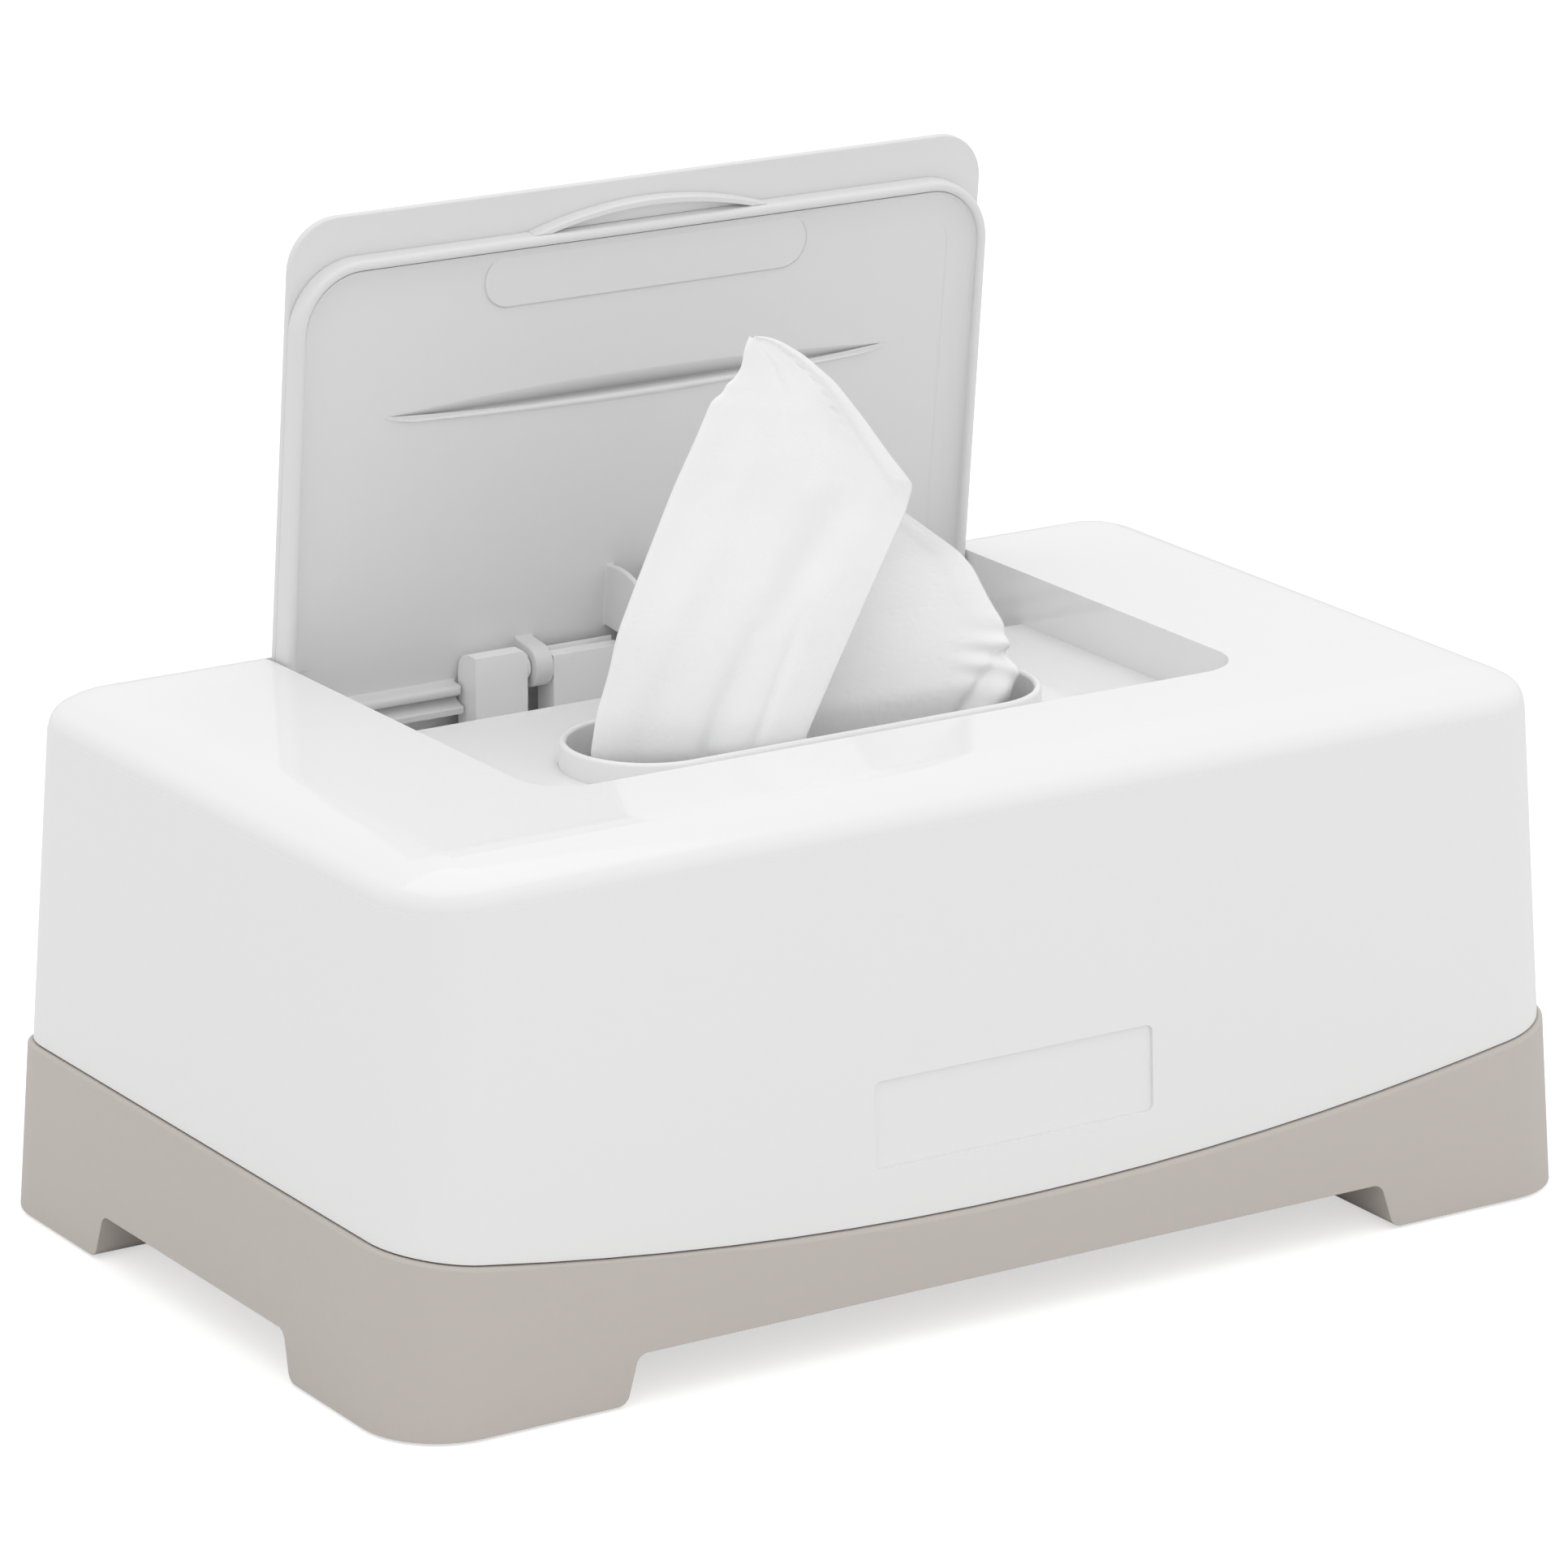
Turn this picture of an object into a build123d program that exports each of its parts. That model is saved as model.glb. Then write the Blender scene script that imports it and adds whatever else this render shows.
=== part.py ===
from build123d import *
import os
from math import acos, atan2, cos, degrees, pi, radians, sin, sqrt, tan

# A box that hands out moist wipes: a tray on four feet, a shell that lifts off it, and a sprung lid.
# Millimetres, +Z up, the front faces -Y, and the origin is the middle of the standing face.
# The lid is modelled shut and then turned to the open angle, where it rests.

# Outer form of tray and shell
case_length = 250.0
case_depth = 152.0
crease_height = 91.6
crown_rise = 7.1
corner_radius = 15.0
crown_tight = 4.5
crown_step = 0.15
end_draft = 2.8
front_draft = 2.9
shell_step = 1.0
shell_wall = 2.2

# Seam between tray and shell: an arc, lowest at the middle of the front
seam_low = 21.8
seam_radius = 673.0
seam_gap = 0.3
tray_edge = 0.6

# Tray
foot_height = 9.1
tray_floor = 2.4
tongue_wall = 1.5
tongue_gap = 0.35
tongue_rise = 5.0
front_arch_half = 81.5
end_arch_half = 35.7
arch_slope = 2.6
arch_round = 2.4

# Foot pads
pad_radius = 7.0
pad_thick = 2.0
pad_proud = 0.5
pad_x = 107.0
pad_y = 59.0

# Sunk deck, hinge well and collar
recess_half = 74.6
recess_front = -38.0
recess_depth = 10.3
recess_corner = 10.0
floor_wall = 2.2
well_front = 35.5
well_depth = 22.5
collar_length = 97.6
collar_width = 32.0
collar_y = -4.0
collar_rise = 4.7
collar_wall = 1.5
collar_flange = 3.0
collar_flange_thick = 1.8
collar_fit = 0.05

# Bare panel on the front
panel_length = 58.8
panel_height = 16.0
panel_z = 40.0
panel_sink = 0.6
panel_corner = 1.4

# Hinge
hinge_y = 52.6
hinge_drop = 7.5
open_angle = 84.0
post_inner = 25.4
post_wide = 11.1
post_front = 2.6
post_back = 3.9
post_top = 3.8
block_inner = 5.3
block_wide = 15.0
block_front = 3.4
block_back = 2.4
block_top = 2.9
pin_radius = 1.5
pin_collar_radius = 2.35
pin_collar = 1.0
pin_grip = 5.6
pin_fit = 0.02
run_fit = 0.08
lug_radius = 4.0
side_gap = 0.2
rod_radius = 1.8
rod_grip = 4.2
carrier_half = 70.0
carrier_front = 44.0
carrier_back = 58.5
carrier_thick = 2.0
carrier_rib = 2.8
carrier_rib_thick = 1.4
screw_x = 58.0
screw_boss_radius = 3.6
screw_boss_rise = 3.4
screw_radius = 1.5
screw_head_radius = 3.0
screw_head = 1.8

# Spring
wire_radius = 0.4
coil_radius = 2.55
coil_pitch = 1.4
coil_turns = 2
coil_gap = 0.6
spring_reach = 12.0
spring_touch = 0.3
sample_step = 0.2

# Lid
lid_gap = 0.6
lid_lip = 7.6
skin_thick = 1.5
frame_plate = 1.6
frame_wall = 2.0
frame_corner = 13.0
rim_depth_front = 5.2
rim_depth_back = 6.6
back_wall_inner = 2.3
notch_gap = 0.5
gusset_half = 4.9
gusset_wall = 1.2
gusset_radius = 16.0
gusset_angle = 216.0
groove_front = -0.6
groove_back = 3.4
groove_half = 53.0
groove_sink = 0.9
scoop_half = 34.5
scoop_front = -27.0
scoop_back = -16.5
scoop_rise = 0.5
tab_half = 25.0
tab_reach = 4.0
tab_height = 3.0
tab_wall = 1.2
catch_half = 9.0
catch_gap = 0.4
catch_height = 1.6

# Wipes
stack_length = 188.0
stack_depth = 104.0
stack_height = 50.0
stack_round = 4.0
soft_gap = 0.3
wipe_half = 1.0

deck_height = crease_height + crown_rise
floor_z = deck_height - recess_depth
well_z = deck_height - well_depth
tray_floor_z = foot_height + tray_floor
hinge_z = deck_height - hinge_drop
barrel_radius = hinge_drop
plate_in = barrel_radius - skin_thick - frame_plate
recess_back = hinge_y + barrel_radius + lid_gap
lid_half = recess_half - lid_gap
lid_front = recess_front + lid_gap
frame_front = lid_front + lid_lip
stack_top = tray_floor_z + soft_gap + stack_height
tongue_inset = shell_step + shell_wall + tongue_gap
wipe_level = floor_z + collar_rise
wipe_foot = stack_top + soft_gap - wipe_level
big = 400.0


def half_x(z, inset=0.0):
    """Half the case's length at a height, drawn in by the ends' draft."""
    return case_length / 2 - z * tan(radians(end_draft)) - inset


def half_y(z, inset=0.0):
    """Half the case's depth at a height, drawn in by the front's draft."""
    return case_depth / 2 - z * tan(radians(front_draft)) - inset


def tapered(low, high, inset=0.0):
    """The drafted block between two heights, its four leaning corners rounded."""
    def side(half):
        """The drafted outline seen along one level axis."""
        return make_face(Polyline(
            (-half(low, inset), low), (half(low, inset), low), (half(high, inset), high), (-half(high, inset), high),
            close=True))

    block = extrude(Plane.XZ * side(half_x), case_depth, both=True) & extrude(
        Plane.YZ * side(half_y), case_length, both=True)
    corners = [e for e in block.edges() if abs(e.tangent_at(0.5).Z) > 0.5]
    return fillet(corners, corner_radius - inset)


def crown(inset=0.0, straight=False):
    """The soft top: a tight arc at the crease that runs on into a flat one, or one straight slope inside."""
    drawn_in = shell_step + crown_step + inset
    hx = half_x(crease_height, drawn_in)
    hy = half_y(crease_height, drawn_in)
    run = corner_radius - drawn_in
    rise = deck_height - crease_height - inset
    tight = crown_tight - inset
    flat = (run**2 + rise**2 - 2 * run * tight) / (2 * (rise - tight))
    turn = acos((flat - rise) / (flat - tight))

    def section(half):
        """Half of an upright section: up the two arcs and back along the middle."""
        axis = half - run
        level = [(axis, rise)] if axis > 0 else []
        rim = [Line((half, 0), (axis, rise))] if straight else [
            CenterArc((half - tight, 0), tight, 0, 90 - degrees(turn)),
            CenterArc((axis, rise - flat), flat, 90 - degrees(turn), degrees(turn)),
        ]
        return make_face([*rim, Polyline(*level, (0, rise), (0, 0), (half, 0))])

    def whole(half):
        """The upright section with both its sides."""
        right = section(half)
        return right + mirror(right, Plane.YZ)

    solid = extrude(Plane.YZ * whole(hy), hx - run, both=True) + extrude(Plane.XZ * whole(hx), hy - run, both=True)
    corner = revolve(Plane.XZ * section(run), Axis.Z, 90)
    for sx, sy, quarter in ((1, 1, 0), (-1, 1, 90), (-1, -1, 180), (1, -1, 270)):
        solid += Pos(sx * (hx - run), sy * (hy - run), 0) * Rot(0, 0, quarter) * corner
    return Pos(0, 0, crease_height) * solid


def seam_z(x):
    """Height of the seam at a distance from the middle."""
    return seam_low + seam_radius - sqrt(seam_radius**2 - x**2)


def below_seam(drop):
    """All that lies lower than the seam by the drop."""
    x = case_length / 2 + 5
    top = ThreePointArc((-x, seam_z(x) - drop), (0, seam_low - drop), (x, seam_z(x) - drop))
    rest = Polyline((x, seam_z(x) - drop), (x, -10), (-x, -10), (-x, seam_z(x) - drop))
    return extrude(Plane.XZ * make_face([top, rest]), case_depth, both=True)


def stadium(length, width, low, high):
    """An upright block with the collar's long oval plan."""
    return Pos(0, collar_y, low) * extrude(SlotOverall(length, width), high - low)


def plan_block(x_half, y_front, y_back, low, high, front_round):
    """A block whose two front corners are rounded in plan."""
    face = Pos(0, (y_front + y_back) / 2) * Rectangle(2 * x_half, y_back - y_front)
    front = face.vertices().group_by(Axis.Y)[0]
    return Pos(0, 0, low) * extrude(fillet(front, front_round), high - low)


def side_prism(points, x_from, x_to):
    """A side profile, given from the hinge axis, carried along X."""
    face = make_face(Polyline(*points, close=True))
    return Pos(x_from, hinge_y, hinge_z) * extrude(Plane.YZ * face, x_to - x_from)


def rod(radius, x_from, x_to):
    """A round bar on the hinge axis."""
    disc = Plane.YZ * Circle(radius)
    return Pos(x_from, hinge_y, hinge_z) * extrude(disc, x_to - x_from)


def slab(x0, x1, y0, y1, z0, z1):
    """A plain block between two corners."""
    return Pos((x0 + x1) / 2, (y0 + y1) / 2, (z0 + z1) / 2) * Box(x1 - x0, y1 - y0, z1 - z0)


def both_sides(piece):
    """A piece and its mirror image across the middle of the box."""
    return piece + mirror(piece, Plane.YZ)


def opened(piece):
    """A piece of the lid, turned from shut to the open rest."""
    return piece.rotate(Axis((0, hinge_y, hinge_z), (1, 0, 0)), -open_angle)


def arch(half):
    """Side view of the gap between two feet, with its slopes and its rounded corners."""
    outer = half + arch_round + 3
    profile = make_face(Polyline(
        (-outer, -3), (-outer, pad_proud), (-half, pad_proud), (arch_slope - half, foot_height),
        (half - arch_slope, foot_height), (half, pad_proud), (outer, pad_proud), (outer, -3), close=True,
    ))
    soft = [v for v in profile.vertices() if abs(v.X) < half + 1]
    return fillet(soft, arch_round)


def base_tray():
    """Tray: drafted walls up to the seam, a tongue inside the shell, and four feet left by two arches."""
    outer = tapered(0, crease_height) & below_seam(seam_gap)
    rim = [e for e in outer.edges() if e.center().Z > seam_low - 1 and e.center().Z < 60]
    body = chamfer(rim, tray_edge)
    tongue = tapered(foot_height, crease_height, tongue_inset) & below_seam(-tongue_rise)
    hollow = tapered(tray_floor_z, crease_height, tongue_inset + tongue_wall)
    body = body + tongue - hollow
    body -= extrude(Plane.XZ * arch(front_arch_half), case_depth, both=True)
    body -= extrude(Plane.YZ * arch(end_arch_half), case_length, both=True)
    body -= slab(-case_length, case_length, -case_depth, case_depth, -5, pad_proud)
    for sx in (-1, 1):
        for sy in (-1, 1):
            body -= Pos(sx * pad_x, sy * pad_y, 0) * extrude(Circle(pad_radius), pad_thick)
    return body


def foot_pad(sx, sy):
    """Rubber disc let into the foot, half a millimetre proud of it."""
    return Pos(sx * pad_x, sy * pad_y, 0) * extrude(Circle(pad_radius), pad_thick)


def wipes_stack():
    """Folded stack, rounded at its corners and blunted along its edges."""
    low = tray_floor_z + soft_gap
    block = slab(-stack_length / 2, stack_length / 2, -stack_depth / 2, stack_depth / 2, low, low + stack_height)
    block = fillet(block.edges().filter_by(Axis.Z), stack_round)
    return chamfer(block.edges().group_by(Axis.Z)[0] + block.edges().group_by(Axis.Z)[-1], stack_round / 2)


def upper_shell():
    """Shell: drafted walls, crown, sunk deck with its floor, hinge well, collar hole and bare front panel."""
    outer = tapered(0, crease_height, shell_step) + crown()
    hollow = tapered(-1, crease_height, shell_step + shell_wall) + crown(shell_wall, straight=True)
    pan = slab(-recess_half - floor_wall, recess_half + floor_wall, recess_front - floor_wall,
               recess_back + floor_wall, floor_z - floor_wall, deck_height)
    trough = slab(-recess_half - floor_wall, recess_half + floor_wall, well_front - floor_wall,
                  recess_back + floor_wall, well_z - floor_wall, floor_z)
    body = outer - hollow + ((pan + trough) & outer)
    body -= plan_block(recess_half, recess_front, recess_back, floor_z, big, recess_corner)
    body -= slab(-recess_half, recess_half, well_front, recess_back, well_z, floor_z + 1)
    body -= stadium(collar_length + 2 * collar_fit, collar_width + 2 * collar_fit, floor_z - 2 * floor_wall, big)
    for sx in (-1, 1):
        body -= Pos(sx * screw_x, hinge_y, well_z - 2 * floor_wall) * extrude(
            Circle(screw_radius + run_fit), 3 * floor_wall)
    skin = tapered(0, crease_height, shell_step + panel_sink)
    panel = Plane.XZ * Pos(0, panel_z) * RectangleRounded(panel_length, panel_height, panel_corner)
    body -= extrude(panel, case_depth) - skin
    body -= below_seam(0)
    tab_front = frame_front - tab_reach
    catch = slab(-catch_half, catch_half, recess_front - 0.5, tab_front - catch_gap,
                 deck_height - skin_thick - catch_gap - catch_height, deck_height - skin_thick - catch_gap)
    return body + catch


def dispensing_collar():
    """Oval tube through the deck's floor, with a flange under it and a rounded rim."""
    top = floor_z + collar_rise
    under = floor_z - floor_wall
    tube = stadium(collar_length, collar_width, under, top)
    flange = stadium(collar_length + 2 * collar_flange, collar_width + 2 * collar_flange,
                     under - collar_flange_thick, under)
    bore = stadium(collar_length - 2 * collar_wall, collar_width - 2 * collar_wall, under - 10, top + 10)
    ring = tube + flange - bore
    return chamfer(ring.edges().group_by(Axis.Z)[-1], collar_wall / 3)


def hinge_carrier():
    """Strip on the well's floor with two posts for the pins and two knuckle blocks for the rod."""
    foot = well_z - hinge_z
    plate = slab(-carrier_half, carrier_half, carrier_front, carrier_back, well_z, well_z + carrier_thick)
    rib = slab(-carrier_half, carrier_half, carrier_front, carrier_front + carrier_rib_thick,
               well_z + carrier_thick, well_z + carrier_thick + carrier_rib)
    post_outer = post_inner + post_wide
    post_side = make_face([
        Polyline((0, post_back), (-post_front, post_top), (-post_front, foot), (post_back, foot), (post_back, 0)),
        ThreePointArc((post_back, 0), (post_back * sqrt(0.5), post_back * sqrt(0.5)), (0, post_back)),
    ])
    post = Pos(post_inner, hinge_y, hinge_z) * extrude(Plane.YZ * post_side, post_wide)
    crest = [e for e in post.edges().group_by(Axis.X)[0] if e.center().Z > hinge_z + post_top / 2]
    post = chamfer(crest, post_top / 4)
    block_outer = block_inner + block_wide
    groove = block_top * 0.25
    block = side_prism([
        (-block_front, foot), (-block_front, block_top - groove), (0, block_top - groove),
        (0, block_top - 2 * groove), (block_back / 3, block_top - 2 * groove), (block_back / 3, block_top),
        (block_back, block_top - groove), (block_back, foot),
    ], block_inner, block_outer)
    boss = Pos(screw_x, hinge_y, well_z) * extrude(Circle(screw_boss_radius), carrier_thick + screw_boss_rise)
    pilot = Pos(screw_x, hinge_y, well_z) * extrude(Circle(screw_radius), carrier_thick + screw_boss_rise - 1)
    body = plate + rib + both_sides(post + block + boss) - both_sides(pilot)
    pin_hole = rod(pin_radius + pin_fit, block_outer - pin_grip, post_inner + pin_grip)
    rod_hole = rod(rod_radius + pin_fit, block_inner - 1, block_inner + rod_grip)
    return body - both_sides(pin_hole) - both_sides(rod_hole)


def carrier_screws():
    """Two screws from inside the shell, up through the well's floor into the carrier's bosses."""
    under = well_z - floor_wall
    head = extrude(Circle(screw_head_radius), screw_head)
    head -= Pos(0, 0, -1) * extrude(RegularPolygon(screw_head_radius * 0.45, 6), 1 + screw_head / 2)
    stem = extrude(Circle(screw_radius), screw_head + floor_wall + carrier_thick + screw_boss_rise - 1.5)
    return both_sides(Pos(screw_x, hinge_y, under - screw_head) * (head + stem))


def hinge_pin(side):
    """Pin with a collar between post and lug, its two ends held in the post and in the block."""
    block_outer = block_inner + block_wide
    stem = rod(pin_radius, block_outer - pin_grip + 0.3, post_inner + pin_grip - 0.3)
    collar = rod(pin_collar_radius, post_inner - pin_collar, post_inner)
    pin = stem + collar
    return pin if side > 0 else mirror(pin, Plane.YZ)


def spring_rod():
    """Rod across the middle gap, its ends held in the two blocks."""
    reach = block_inner + rod_grip - 0.3
    return rod(rod_radius, -reach, reach)


def least_gap(wire_line, spread):
    """Least clear distance between two lengths of the spring's wire that lie over the spread apart along it."""
    count = round(wire_line.length / sample_step)
    points = [wire_line.position_at(k / count) for k in range(count + 1)]
    skip = round(spread / sample_step)
    nearest = min((points[j] - points[i]).length for i in range(count) for j in range(i + skip, count + 1))
    return nearest - 2 * wire_radius


def lid_spring():
    """Torsion spring: a leg up from the carrier, the coil round the rod, and a leg that lifts the gusset."""
    web = radians(gusset_angle - open_angle)
    stand_off = wire_radius + spring_touch
    tip_y = spring_reach * cos(web) - stand_off * sin(web)
    tip_z = spring_reach * sin(web) + stand_off * cos(web)
    reach = sqrt(tip_y**2 + tip_z**2)
    leave = degrees(atan2(tip_z, tip_y)) + degrees(acos(coil_radius / reach))
    turn = 180 - leave + 360 * (coil_turns + 1)
    steps = round(turn / 45)
    half = coil_pitch * turn / 720

    def at(k):
        angle = radians(180 - turn * k / steps)
        return (-half + 2 * half * k / steps, coil_radius * cos(angle), coil_radius * sin(angle))

    foot = well_z + carrier_thick + wire_radius / 2 - hinge_z
    path = [Line((-half, -coil_radius, foot), at(0))]
    if steps % 2:
        steps += 1
    path += [ThreePointArc(at(k), at(k + 1), at(k + 2)) for k in range(0, steps, 2)]
    path.append(Line(at(steps), (half, tip_y, tip_z)))
    middle_line = Wire(path)
    print("lid_spring: least gap to itself", round(least_gap(middle_line, pi * coil_radius), 2))
    wire = sweep(Plane((-half, -coil_radius, foot)) * RegularPolygon(wire_radius, 6), path=middle_line)
    return Pos(0, hinge_y, hinge_z) * wire


def gusset_low():
    """The gusset's lowest outer corner with the lid shut, from the axis."""
    angle = radians(gusset_angle)
    return gusset_radius * cos(angle), gusset_radius * sin(angle)


def gusset_near():
    """The end of the gusset's web beside the coil with the lid shut, from the axis."""
    clear = coil_radius + wire_radius + coil_gap
    return -clear, -clear * tan(radians(gusset_angle))


def lid_envelope(radius, top):
    """Room inside the skin: below its flat part, and round the axis behind it."""
    flat = slab(-lid_half, lid_half, lid_front, hinge_y, hinge_z - 30, top)
    return flat + rod(radius, -lid_half, lid_half)


def hinge_notch():
    """What the lid leaves out round the posts and blocks: all that lies lower than the plate."""
    half = post_inner + post_wide + notch_gap
    return slab(-half, half, hinge_y - post_front - 4, hinge_y + 20, hinge_z - 30, hinge_z + plate_in)


def skin_shut():
    """Skin, shut: a plate that curls down round the hinge axis at its back."""
    side = make_face([
        Polyline((0, barrel_radius), (lid_front - hinge_y, barrel_radius),
                 (lid_front - hinge_y, barrel_radius - skin_thick), (0, barrel_radius - skin_thick)),
        CenterArc((0, 0), barrel_radius - skin_thick, 90, -90),
        Line((barrel_radius - skin_thick, 0), (barrel_radius, 0)),
        CenterArc((0, 0), barrel_radius, 0, 90),
    ])
    sheet = Pos(-lid_half, hinge_y, hinge_z) * extrude(Plane.YZ * side, 2 * lid_half)
    plan = plan_block(lid_half, lid_front, recess_back, hinge_z - 1, big, recess_corner - lid_gap)
    return (sheet & plan) - hinge_notch()


def frame_shut():
    """Frame, shut: plate, walls that deepen towards the hinge, lugs for the pins and the spring's gusset."""
    top = hinge_z + barrel_radius - skin_thick
    back = hinge_y + back_wall_inner + frame_wall
    block = plan_block(lid_half, frame_front, back, hinge_z - 20, top, frame_corner)
    hollow = plan_block(lid_half - frame_wall, frame_front + frame_wall, hinge_y + back_wall_inner,
                        hinge_z - 30, hinge_z + plate_in, frame_corner - frame_wall)
    rim = extrude(Plane.YZ * make_face(Polyline(
        (lid_front, deck_height - rim_depth_front), (recess_back, deck_height - rim_depth_back),
        (recess_back, 0), (lid_front, 0), close=True)), 2 * lid_half, both=True)
    body = ((block - hollow) & lid_envelope(barrel_radius - skin_thick, top)) - rim - hinge_notch()
    groove_mid = (groove_front + groove_back) / 2
    groove_wide = groove_back - groove_front
    lens = make_face([
        ThreePointArc((-groove_half, groove_mid), (0, groove_mid - groove_wide / 2), (groove_half, groove_mid)),
        ThreePointArc((groove_half, groove_mid), (0, groove_mid + groove_wide / 2), (-groove_half, groove_mid)),
    ])
    body -= Pos(0, 0, hinge_z + plate_in) * extrude(lens, groove_sink)
    scoop = Pos(0, (scoop_front + scoop_back) / 2) * SlotOverall(2 * scoop_half, scoop_back - scoop_front)
    body += Pos(0, 0, hinge_z + plate_in - scoop_rise) * extrude(scoop, scoop_rise)
    return body + both_sides(hinge_lug()) + gusset()


def hinge_lug():
    """Lug between post and block, round the pin and up to the plate."""
    low = block_inner + block_wide + side_gap
    high = post_inner - pin_collar - side_gap
    web = side_prism([(-lug_radius, 0), (-lug_radius, plate_in), (lug_radius, plate_in), (lug_radius, 0)], low, high)
    return rod(lug_radius, low, high) + web - rod(pin_radius + run_fit, low - 1, high + 1)


def gusset():
    """Hollow gusset that hangs from the plate into the well, its open side towards the lid's front."""
    reach = sqrt(gusset_radius**2 - plate_in**2)
    start = 180 - degrees(atan2(plate_in, reach))
    low, near = gusset_low(), gusset_near()
    side = make_face([
        CenterArc((0, 0), gusset_radius, start, gusset_angle - start),
        Polyline(low, near, (near[0], plate_in), (-reach, plate_in)),
    ])
    body = Pos(-gusset_half, hinge_y, hinge_z) * extrude(Plane.YZ * side, 2 * gusset_half)
    slope = tan(radians(gusset_angle))
    lift = gusset_wall / abs(cos(radians(gusset_angle)))
    back = near[0] - gusset_wall
    front = -gusset_radius - 1
    inner = side_prism([(back, plate_in), (back, back * slope + lift), (front, front * slope + lift),
                        (front, plate_in)], gusset_wall - gusset_half, gusset_half - gusset_wall)
    return body - inner


def tab_shut():
    """Thumb tab, shut: a bowed wall with a thin top, open below, against the frame's front wall."""
    top = hinge_z + barrel_radius - skin_thick

    def bow(inset, low, high):
        chord = frame_front
        apex = frame_front - tab_reach + inset
        face = make_face([
            ThreePointArc((-tab_half + 3 * inset, chord), (0, apex), (tab_half - 3 * inset, chord)),
            Line((tab_half - 3 * inset, chord), (-tab_half + 3 * inset, chord)),
        ])
        return Pos(0, 0, low) * extrude(face, high - low)

    return bow(0, top - tab_height, top) - bow(tab_wall, top - tab_height - 1, top - tab_wall)


def leaf(plan, lean, outline):
    """One leaf of a folded sheet, up from the collar's rim: its plan at a lean, cut to its front outline."""
    near = [(x, y - wipe_half) for x, y in plan]
    far = [(x, y + wipe_half) for x, y in reversed(plan)]
    low = min(z for x, z in outline)
    rise = max(z for x, z in outline) - low
    band = Pos(0, lean * low, low) * extrude(
        make_face(Polyline(*near, *far, close=True)), sqrt(1 + lean**2) * rise, dir=(0, lean, 1))
    cut = band & extrude(Plane.XZ * make_face(Polyline(*outline, close=True)), case_depth, both=True)
    return Pos(0, 0, wipe_level) * cut


def pulled_wipe():
    """Wipe, folded in two, pulled half out of the collar: a tall front leaf and a lower one behind it."""
    front_leaf = leaf(
        [(-47, -1), (-39, -9), (-27, -13.5), (-8, -15), (8, -11.5), (27, -5)], 0.15,
        [(-30, wipe_foot), (-44.5, 0), (-41, 24), (-33, 38), (-23, 55), (-13, 66), (-10.5, 72), (-5, 72),
         (3, 66), (12, 54), (23.5, 39), (21.5, 34), (-7.2, 0), (-2, wipe_foot)])
    back_leaf = leaf(
        [(-14, -16), (4, -8.5), (20, -3.5), (47, -2.5)], 0.1,
        [(-4, wipe_foot), (-12, 0), (-3, 18), (14, 33), (26, 31), (38, 22.5), (43, 12), (44.5, 0), (30, wipe_foot)])
    return front_leaf + back_leaf


def write(name, piece):
    """One file for each node."""
    export_step(piece, f"parts/{name}.step")
    print(name, len(piece.solids()), "solids")


os.makedirs("parts", exist_ok=True)
write("base_tray", base_tray())
for side_name, sx in (("left", -1), ("right", 1)):
    for end_name, sy in (("front", -1), ("back", 1)):
        write(f"foot_pad_{end_name}_{side_name}", foot_pad(sx, sy))
    write(f"hinge_pin_{side_name}", hinge_pin(sx))
write("wipes_stack", wipes_stack())
write("upper_shell", upper_shell())
write("dispensing_collar", dispensing_collar())
write("hinge_carrier", hinge_carrier())
write("carrier_screws", carrier_screws())
write("spring_rod", spring_rod())
write("lid_spring", lid_spring())
write("lid_skin", opened(skin_shut()))
write("lid_frame", opened(frame_shut()))
write("latch_tab", opened(tab_shut()))
write("pulled_wipe", pulled_wipe())
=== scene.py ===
from math import cos, pi, radians, sin

import bmesh
import bpy
import numpy as np
from mathutils import Matrix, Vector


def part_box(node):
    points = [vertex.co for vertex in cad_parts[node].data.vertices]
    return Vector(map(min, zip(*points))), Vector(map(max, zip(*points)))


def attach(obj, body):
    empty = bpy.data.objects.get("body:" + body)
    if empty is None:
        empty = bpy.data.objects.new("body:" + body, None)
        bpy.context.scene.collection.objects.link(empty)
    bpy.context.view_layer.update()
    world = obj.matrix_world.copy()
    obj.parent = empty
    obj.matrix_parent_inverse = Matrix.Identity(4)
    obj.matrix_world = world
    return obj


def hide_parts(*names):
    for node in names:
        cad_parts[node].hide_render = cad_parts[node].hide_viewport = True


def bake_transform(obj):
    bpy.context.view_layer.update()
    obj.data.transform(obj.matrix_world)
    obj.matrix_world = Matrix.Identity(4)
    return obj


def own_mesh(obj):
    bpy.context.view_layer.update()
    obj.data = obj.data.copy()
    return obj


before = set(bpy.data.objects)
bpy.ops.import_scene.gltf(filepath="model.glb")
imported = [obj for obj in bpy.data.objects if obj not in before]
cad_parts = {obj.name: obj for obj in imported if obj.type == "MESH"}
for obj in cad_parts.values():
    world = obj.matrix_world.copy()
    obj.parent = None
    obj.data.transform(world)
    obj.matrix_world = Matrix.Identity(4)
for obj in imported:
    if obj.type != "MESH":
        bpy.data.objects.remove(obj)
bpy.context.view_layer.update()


# Tray: one moulding in matte warm-grey plastic that the shell stands on, with four feet left by the arches.
# Its upper edge is softly rounded and stands a millimetre proud of the shell all round.

merge_distance = 2e-6
flat_turn, sharp_turn = radians(0.4), radians(35)
lesser_round = 0.4


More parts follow.
